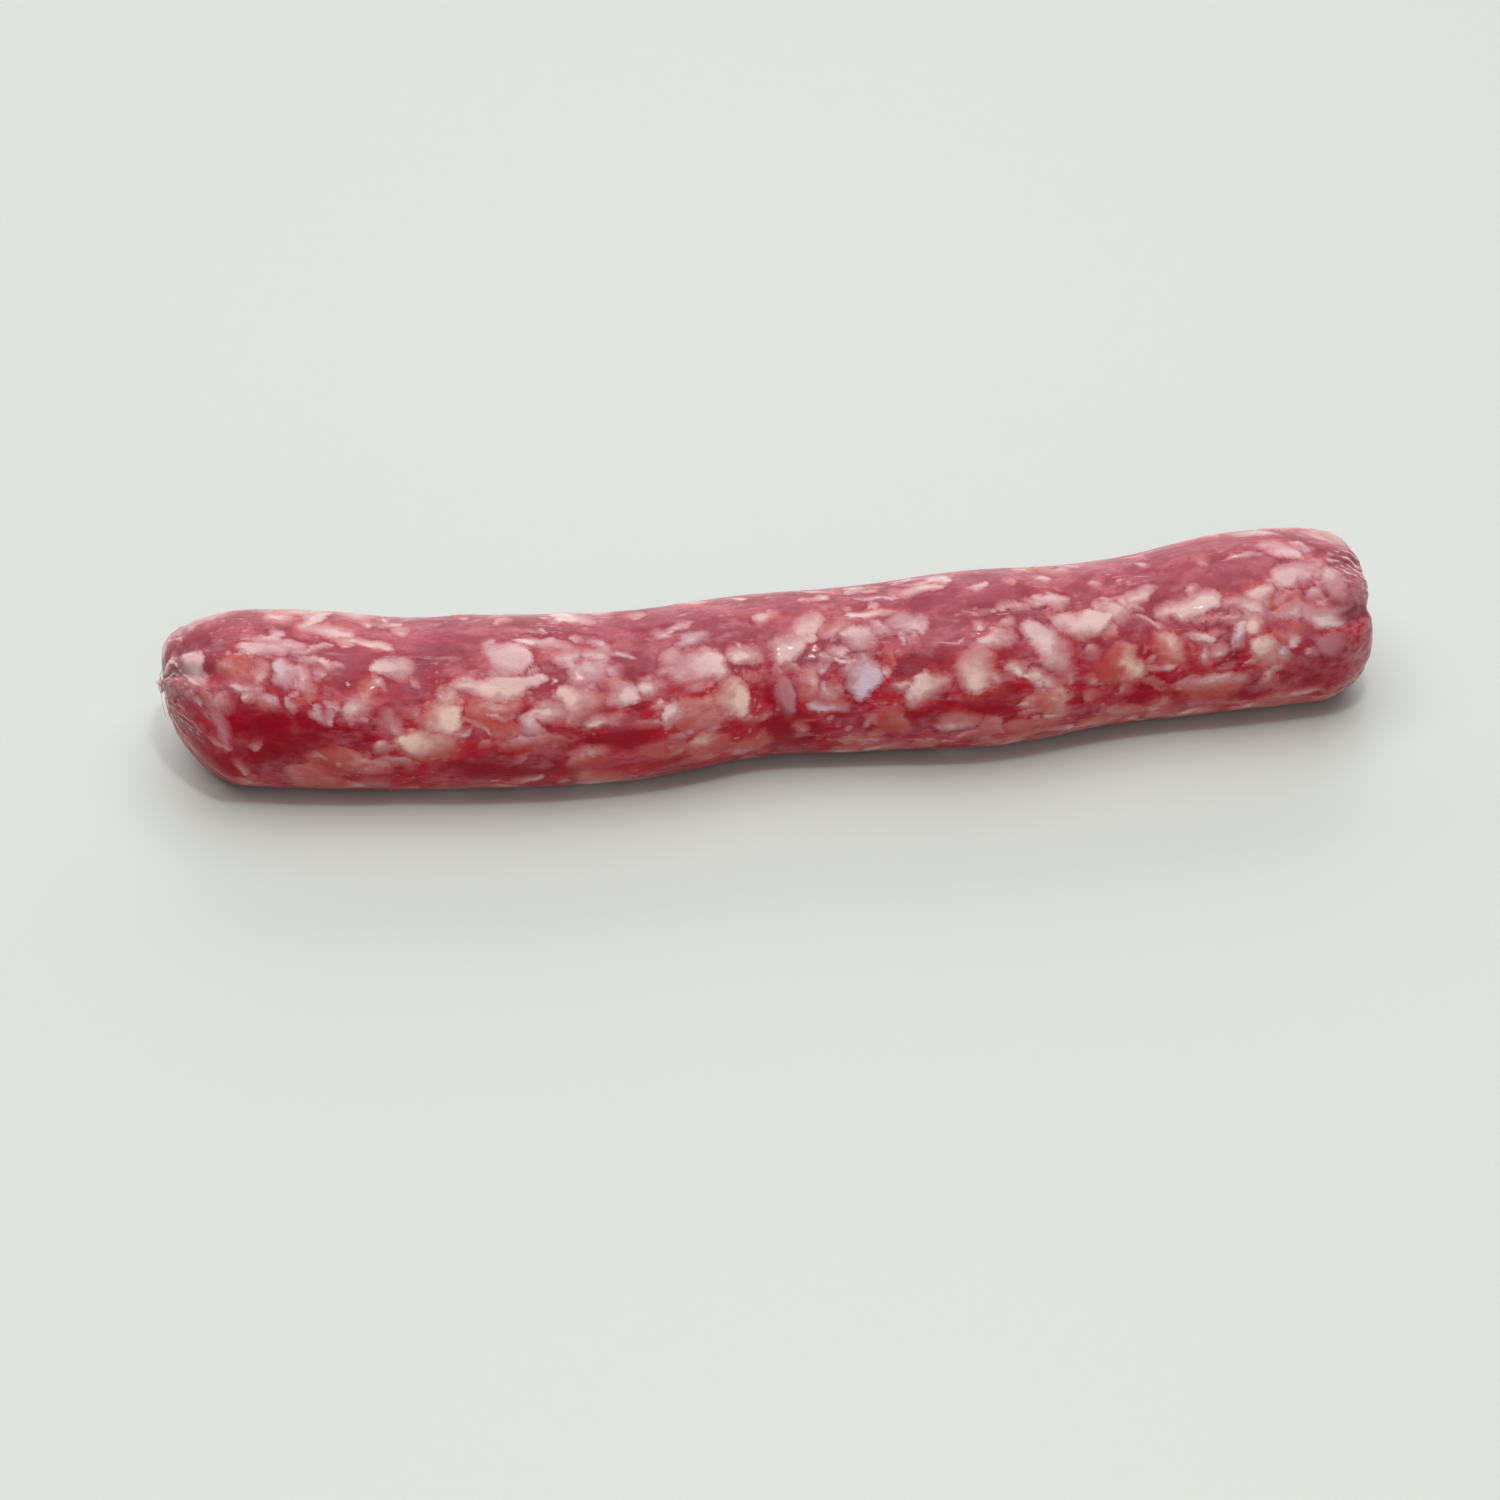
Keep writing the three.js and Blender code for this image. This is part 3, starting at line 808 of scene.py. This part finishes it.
def meat_patterns(tree):
    """What the mesh holds for each point, and the patterns of minced meat, by name."""
    seen = SimpleNamespace()
    for name in ("inside", "depth", "tone", "glow", "soft", "plain", "lean_tone", "upwards", "fold"):
        setattr(seen, name, add(tree, "Attribute", attribute_name=name).outputs["Fac"])
    seen.straight = add(tree, "Attribute", attribute_name="straight").outputs["Vector"]
    for number, (name, (size, detail, rough, stretch)) in enumerate(PATTERNS.items()):
        inputs = {0: seen.straight, 1: (1 / size / stretch, 1 / size, 1 / size), 2: (number * 7.3,) * 3}
        spot = add(tree, "VectorMath", inputs, operation="MULTIPLY_ADD").outputs[0]
        inputs = {"Vector": spot, "Scale": 1, "Detail": detail, "Roughness": rough}
        setattr(seen, name, add(tree, "TexNoise", inputs).outputs["Color" if name == "sway" else "Fac"])
    inputs = {0: seen.sway, 1: (CHUNK_BEND,) * 3, 2: seen.straight}
    swayed = add(tree, "VectorMath", inputs, operation="MULTIPLY_ADD").outputs[0]
    chunks = add(tree, "TexVoronoi", {"Vector": swayed, "Scale": 1 / CHUNK})
    seen.chunk = add(tree, "SeparateColor", {0: chunks.outputs["Color"]}).outputs
    inputs = {0: swayed, 1: (1 / FIBRE[1], 1 / FIBRE[0], 1 / FIBRE[0])}
    spot = add(tree, "VectorMath", inputs, operation="MULTIPLY").outputs[0]
    inputs = {"Vector": spot, "Scale": 1, "Detail": 3, "Roughness": 0.65}
    seen.fibres = add(tree, "TexNoise", inputs).outputs["Fac"]
    return seen


def find_edges(tree, seen):
    """The ragged edge of the fat, how it fades into lean, the lean over it, and its domed middle."""
    # Tears move the edge by up to 0.85 mm either way and the fringe by less, and both eat into the piece
    inputs = {0: seen.torn, 1: 1.7, 2: -1.25}
    rough_edge = add(tree, "Math", inputs, operation="MULTIPLY_ADD").outputs[0]
    inputs = {0: seen.fringe, 1: 0.8, 2: rough_edge}
    rough_edge = add(tree, "Math", inputs, operation="MULTIPLY_ADD").outputs[0]
    seen.edge = add(tree, "Math", {0: seen.inside, 1: rough_edge}, operation="ADD").outputs[0]
    seen.fade = add(tree, "Math", {0: seen.edge, 1: seen.soft}, operation="DIVIDE").outputs[0]
    uneven = add(tree, "Math", {0: seen.lump, 1: 1.1, 2: -0.55}, operation="MULTIPLY_ADD").outputs[0]
    seen.sunk = add(tree, "Math", {0: seen.depth, 1: uneven}, operation="ADD").outputs[0]
    seen.dome = add(tree, "Math", {0: uneven, 1: seen.fade}, operation="ADD").outputs[0]


def find_creases(tree, seen):
    """Fine creases of the casing on the upper side: how far off their lines each point is, and how much of
    them shows. Their pale dashes are partly the casing's paler folds and partly painted glints."""
    off_line = add(tree, "Math", {0: seen.crease, 1: 0.5}, operation="SUBTRACT").outputs[0]
    seen.off_line = add(tree, "Math", {0: off_line}, operation="ABSOLUTE").outputs[0]
    seen.creased = 0.4
    for pattern, shut, opened in ((seen.crowd, 0.5, 0.62), (seen.upwards, 0, 0.9), (seen.lump, 0.5, 0.6)):
        inputs = {0: pattern, 1: shut, 2: opened, 3: 0, 4: seen.creased}
        seen.creased = add(tree, "MapRange", inputs).outputs[0]


def lean_colour(tree, seen):
    # Lean is deep crimson in chunks of different darkness. Its bundles of fibre are fine pale and dark lines
    mixed = add(tree, "Math", {0: seen.chunk[0], 1: 0.4, 2: seen.blotch}, operation="MULTIPLY_ADD").outputs[0]
    mixed = add(tree, "Math", {0: seen.mottle, 1: 0.7, 2: mixed}, operation="MULTIPLY_ADD").outputs[0]
    mixed = add(tree, "MapRange", {0: mixed, 1: 0.72, 2: 1.45, 3: 0, 4: 1}).outputs[0]
    stops = (0, "#84051a"), (0.315, "#9c0b22"), (0.589, "#b0142b"), (1, "#b62e3f")
    lean = add(tree, "ValToRGB", {0: mixed}, stops).outputs[0]
    lean = coat(tree, lean, "#a13a4c", 0.9, (seen.chunk[1], 0.45, 0.75), (seen.blotch, 0.4, 0.6))
    lean = coat(tree, lean, "#bd555e", 0.22, (seen.fibres, 0.5, 0.72))
    lean = coat(tree, lean, "#84091d", 0.4, (seen.fibres, 0.48, 0.3))
    # Plain stretches are darker where they are thick, and mauve where a thin film covers them. Low on the
    # front their dark is partly painted shade
    inputs = {0: seen.blotch, 1: 0.6, 2: seen.lean_tone}
    shady = add(tree, "Math", inputs, operation="MULTIPLY_ADD").outputs[0]
    lean = coat(tree, lean, "#8b061c", 0.75, (shady, 0.3, 1.3))
    # On the upper side, which faces the overhead light, the lean is drawn duller and more mauve: painted
    # sheen, with paler and darker patches
    painted_sheen = add(tree, "Math", {0: seen.cloud, 1: 0.9, 2: seen.upwards}, operation="MULTIPLY_ADD").outputs[0]
    lean = coat(tree, lean, "#984e5a", 0.85, (painted_sheen, 0.85, 1.4))
    upper = (seen.upwards, 0.2, 0.8)
    lean = coat(tree, lean, "#b86c77", 0.6, (seen.sunken, 0.49, 0.62), upper, (seen.grain, 0.2, 0.6))
    lean = coat(tree, lean, "#84303f", 0.5, (seen.sunken, 0.47, 0.34), upper)
    lean = coat(tree, lean, "#a5505f", 0.5, (seen.lean_tone, -0.2, -0.9), (seen.mottle, 0.3, 0.6))

    # Light that enters fat comes out red and orange round it
    stops = (0.3, "#ac2430"), (0.5, "#bb4245"), (0.7, "#c76a66")
    lit = add(tree, "ValToRGB", {0: seen.mottle}, stops).outputs[0]
    lean = coat(tree, lean, lit, 0.95, (seen.glow, 0, 1), (seen.lump, 0.2, 0.5))
    # Fat a millimetre or two down shows as soft clouds, except in the plain stretches
    clear = add(tree, "Math", {0: seen.lean_tone, 1: 0.35, 2: 0.55}, operation="MULTIPLY_ADD").outputs[0]
    clear = add(tree, "Math", {0: seen.plain, 1: clear}, operation="MULTIPLY").outputs[0]
    busy = add(tree, "Math", {0: 1.0, 1: clear}, operation="SUBTRACT").outputs[0]
    stops = (0.3, "#b04a50"), (0.5, "#bc646a"), (0.7, "#c98085")
    deep = add(tree, "ValToRGB", {0: seen.mottle}, stops).outputs[0]
    lean = coat(tree, lean, deep, busy, (seen.sunken, 0.48, 0.68), (seen.glow, -0.3, 0.7))
    # Silverskin is a pale mauve film in patches, and sinews are pale lines
    lean = coat(tree, lean, "#bd7582", 0.42, (seen.cloud, 0.5, 0.66), (seen.mottle, 0.3, 0.6))
    return coat(tree, lean, "#cf969a", 0.35, (seen.wisp, 0.58, 0.68), (seen.crowd, 0.4, 0.6))


def scatter_crumbs(tree, seen, lean):
    """Crumbs of fat too small for the mesh, mostly near larger pieces."""
    for size, shift, strength in SMALL_CRUMBS:
        inputs = {0: seen.sway, 1: (size * 2.4,) * 3, 2: seen.straight}
        wobble = add(tree, "VectorMath", inputs, operation="MULTIPLY_ADD").outputs[0]
        inputs = {0: wobble, 1: (0.75, 1, 1), 2: (shift,) * 3}
        spot = add(tree, "VectorMath", inputs, operation="MULTIPLY_ADD").outputs[0]
        cells = add(tree, "TexVoronoi", {"Vector": spot, "Scale": 1 / size}).outputs
        pick = add(tree, "SeparateColor", {0: cells["Color"]}).outputs
        inputs = {0: seen.torn, 1: 0.9, 2: cells["Distance"]}
        ragged = add(tree, "Math", inputs, operation="MULTIPLY_ADD").outputs[0]
        near = add(tree, "Math", {0: seen.glow, 1: 0.28, 2: seen.crowd}, operation="MULTIPLY_ADD").outputs[0]
        stops = (0, "#c48a90"), (0.5, "#cf9a9a"), (1, "#c07a74")
        chip = add(tree, "ValToRGB", {0: pick[2]}, stops).outputs[0]
        gates = (ragged, 0.8, 0.55), (near, 0.42, 0.62), (pick[0], 0.45, 0.8), (seen.plain, 1, 0.4)
        lean = coat(tree, lean, chip, strength, *gates)
    return lean


def fat_colour(tree, seen):
    # Fat is lilac, pink white or cream, with lobules and a rosy rim where it thins out under the lean
    shade = add(tree, "MapRange", {0: seen.tone, 1: -1, 2: 1, 3: 0, 4: 1}).outputs[0]
    stops = (0, "#b08088"), (0.3, "#b9747e"), (0.55, "#bd7076"), (1, "#c27068")
    fat = add(tree, "ValToRGB", {0: shade}, stops).outputs[0]
    stops = (0, "#ccb0b9"), (0.3, "#d1b1b6"), (0.55, "#d6b4b2"), (1, "#d8b2a8")
    heart = add(tree, "ValToRGB", {0: shade}, stops).outputs[0]
    fat = coat(tree, fat, heart, 1.0, (seen.dome, -0.4, 1.9))
    fat = coat(tree, fat, "#c08080", 0.3, (seen.grain, 0.55, 0.32))
    fat = coat(tree, fat, "#bd7a7c", 0.22, (seen.fibres, 0.5, 0.32))
    fat = coat(tree, fat, "#e2c8c4", 0.6, (seen.lump, 0.5, 0.62), (seen.fade, 0.4, 1.3))
    # The middle of a thick piece is the palest: partly the fat's own colour, partly a painted highlight that
    # makes the piece look domed
    stops = (0, "#d9cfe0"), (0.3, "#ecdade"), (0.55, "#f2ded8"), (1, "#f5dfc9")
    centre_highlight = add(tree, "ValToRGB", {0: shade}, stops).outputs[0]
    fat = coat(tree, fat, centre_highlight, 0.6, (seen.dome, 1.1, 2.9), (seen.sunk, 0.5, 0.0))
    # On the upper side, which faces the overhead light, the fat is drawn duller and pinker: painted sheen
    fat = coat(tree, fat, "#c0949a", 0.5, (seen.upwards, 0.4, 0.95), (seen.cloud, 0.25, 0.6))
    # Lean over fat turns it pink, orange and then red, the deeper it lies
    deeper = add(tree, "MapRange", {0: seen.sunk, 1: 0, 2: DEEPEST, 3: 0, 4: 1}).outputs[0]
    stops = (0, "#c98e8e"), (0.16, "#c2706c"), (0.36, "#b74f49"), (0.64, "#a8303a"), (1, "#9a2230")
    under = add(tree, "ValToRGB", {0: deeper}, stops).outputs[0]
    under = coat(tree, under, "#b57f86", 0.85, (seen.tone, -0.3, -0.8), (seen.sunk, 2.0, 0.7))
    return coat(tree, fat, under, 1.0, (seen.sunk, 0.05, 0.6))


def skin_relief(tree, seen):
    """Bumps of the meat under the casing, then of the film of juice on it."""
    inputs = {0: seen.edge, 1: -0.6, 2: 1.0, 3: 0, 4: 0.45}
    lifted = add(tree, "MapRange", inputs, interpolation_type="SMOOTHSTEP").outputs[0]
    inputs = {0: seen.off_line, 1: 0.04, 2: 0.0, 3: 0, 4: seen.creased}
    ridge = add(tree, "MapRange", inputs, interpolation_type="SMOOTHSTEP").outputs[0]
    bumps = []
    for pattern, height in ((seen.mottle, 0.6), (seen.wet, 0.5)):
        high = add(tree, "Math", {0: pattern, 1: height, 2: lifted}, operation="MULTIPLY_ADD").outputs[0]
        high = add(tree, "Math", {0: ridge, 1: 0.35, 2: high}, operation="MULTIPLY_ADD").outputs[0]
        bumps.append(add(tree, "Bump", {"Strength": 0.8, "Distance": BUMP_HEIGHT, "Height": high}).outputs[0])
    return bumps


def raw_meat_material():
    """Raw pork, minced and pressed into a natural casing: soft and deep red, spotted with pale fat, clouded
    by the thin skin and wet with its own juice."""
    material, tree = new_material("raw_pork_in_casing")
    seen = meat_patterns(tree)
    find_edges(tree, seen)
    find_creases(tree, seen)
    lean = scatter_crumbs(tree, seen, lean_colour(tree, seen))
    meat = coat(tree, lean, fat_colour(tree, seen), 0.88, (seen.fade, -0.75, 0.55))
    # Some of the sharper pieces have a thin dark line of painted shade beside them, as in a crevice
    gates = (seen.edge, -1.1, -0.6), (seen.edge, -0.1, -0.5), (seen.cloud, 0.5, 0.62), (seen.sunk, 0.4, 0.0)
    meat = coat(tree, meat, "#6a1420", 0.35, *gates)
    # Pale dashes along the creases: partly the casing's paler folds, partly painted glints
    meat = coat(tree, meat, "#e0c0c4", seen.creased, (seen.off_line, 0.028, 0.004), (seen.fade, 0.0, -0.6))
    # Gathered casing is thicker and clouds the meat. Its folds are milky, partly the casing's own colour and
    # partly painted highlight, with painted shade between them
    tip = add(tree, "SeparateXYZ", {0: seen.straight}).outputs[0]
    tip = add(tree, "Math", {0: tip, 1: LENGTH / 2}, operation="SUBTRACT").outputs[0]
    tip = add(tree, "Math", {0: tip}, operation="ABSOLUTE").outputs[0]
    clouded = (tip, LENGTH / 2 - CLOUDED_FROM[0], LENGTH / 2 - CLOUDED_FROM[1])
    meat = coat(tree, meat, "#c8959c", 0.5, clouded, (seen.mottle, 0.25, 0.65))
    # Painted shade between the folds
    meat = coat(tree, meat, "#7a1024", 0.7, (seen.fold, -0.1, -0.55))
    # Milky fold crests: partly the casing's own colour, partly painted highlight
    meat = coat(tree, meat, "#e6c9cc", 0.85, (seen.fold, 0.05, 0.5), (seen.mottle, 0.25, 0.5))
    bump, wet = skin_relief(tree, seen)
    skin = {
        "Base Color": meat,
        "Roughness": 0.42,
        "Specular IOR Level": 0.04,  # the shine is all in the film of juice
        "IOR": 1.4,
        "Subsurface Weight": 0.8,  # red light goes furthest through meat
        "Subsurface Radius": (1.0, 0.25, 0.2),
        "Subsurface Scale": 0.0022,
        "Sheen Weight": 0.05,  # dried skin is a little paler at its outline
        "Sheen Roughness": 0.4,
        "Sheen Tint": "#fff0f2",
        "Coat Weight": 0.6,
        "Coat Roughness": 0.05,
        "Coat IOR": 1.2,  # weaker than water, since the film breaks off where the casing has dried
        "Normal": bump,
        "Coat Normal": wet,
    }
    surface = add(tree, "BsdfPrincipled", skin).outputs[0]
    add(tree, "OutputMaterial", {"Surface": surface})
    return material


def bare_casing_material():
    """Wet hog casing without meat in it: thin, milky and see-through, rosy where it lies double."""
    material, tree = new_material("bare_casing")
    spot = add(tree, "TexCoord").outputs["Object"]
    inputs = {"Vector": spot, "Scale": 1 / CASING_CLOUD, "Detail": 3}
    milky = add(tree, "TexNoise", inputs).outputs["Fac"]
    stops = (0.3, "#c58a8f"), (0.5, "#d8aeb0"), (0.7, "#ecd6d6")
    skin = {
        "Base Color": add(tree, "ValToRGB", {0: milky}, stops).outputs[0],
        "Roughness": 0.32,
        "IOR": 1.4,
        "Subsurface Weight": 0.6,
        "Subsurface Radius": (1.0, 0.5, 0.4),
        "Subsurface Scale": 0.001,
        "Coat Weight": 0.5,
        "Coat Roughness": 0.1,
    }
    surface = add(tree, "BsdfPrincipled", skin).outputs[0]
    add(tree, "OutputMaterial", {"Surface": surface})
    return material


def glazed_table_material():
    """Pale grey glaze, fired smooth: a dull even shine."""
    material, tree = new_material("glazed_table")
    surface = add(tree, "BsdfPrincipled", {"Base Color": "#c7cbc6", "Roughness": 0.45}).outputs[0]
    add(tree, "OutputMaterial", {"Surface": surface})
    return material


def add_camera():
    """Looks at the sausage from the photograph's side and height, with its place in the frame."""
    a, e = VIEW_AZIMUTH, VIEW_ELEVATION
    back = Vector((math.sin(a) * math.cos(e), -math.cos(a) * math.cos(e), math.sin(e)))
    right = Vector((math.cos(a), math.sin(a), 0))
    up = back.cross(right)
    data = bpy.data.cameras.new("view")
    data.sensor_width = SENSOR
    data.lens = SENSOR * VIEW_DISTANCE / (PHOTO_SIDE * PIXEL_AT_SUBJECT)
    data.clip_end = 20
    camera = bpy.data.objects.new("view", data)
    camera.location = Vector((0, 0, MIDDLE_HEIGHT)) - right * AIM_RIGHT - up * AIM_UP + back * VIEW_DISTANCE
    camera.rotation_euler = back.to_track_quat("Z", "Y").to_euler()
    bpy.context.scene.collection.objects.link(camera)
    bpy.context.scene.camera = camera


def add_softbox(name, stand, size, watts):
    """A white light that faces the sausage."""
    data = bpy.data.lights.new(name, "AREA")
    data.shape = "RECTANGLE"
    data.size, data.size_y = size
    data.energy = watts
    light = bpy.data.objects.new(name, data)
    light.location = stand
    light.rotation_euler = Vector(stand).to_track_quat("Z", "Y").to_euler()
    bpy.context.scene.collection.objects.link(light)


def light_studio():
    for softbox in SOFTBOXES:
        add_softbox(*softbox)
    world = bpy.data.worlds.new("studio")
    world.use_nodes = True
    background = world.node_tree.nodes["Background"]
    background.inputs[0].default_value = colour("#f2f4f2")
    background.inputs[1].default_value = ROOM_LIGHT
    bpy.context.scene.world = world
    bpy.context.scene.view_settings.view_transform = "Standard"


def add_floor():
    half = FLOOR / 2
    corners = [(-half, -half, 0), (half, -half, 0), (half, half, 0), (-half, half, 0)]
    mesh = bpy.data.meshes.new("floor")
    mesh.from_pydata(corners, [], [(0, 1, 2, 3)])
    mesh.materials.append(glazed_table_material())
    floor = add_piece("floor", mesh)


add_camera()
sausage, tips = build_sausage()
sausage.data.materials.append(raw_meat_material())
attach(sausage, "root")
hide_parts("sausage")
bare_casing = bare_casing_material()
for casing_end in build_casing_ends(tips):
    casing_end.data.materials.append(bare_casing)
    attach(casing_end, "root")
add_floor()
light_studio()
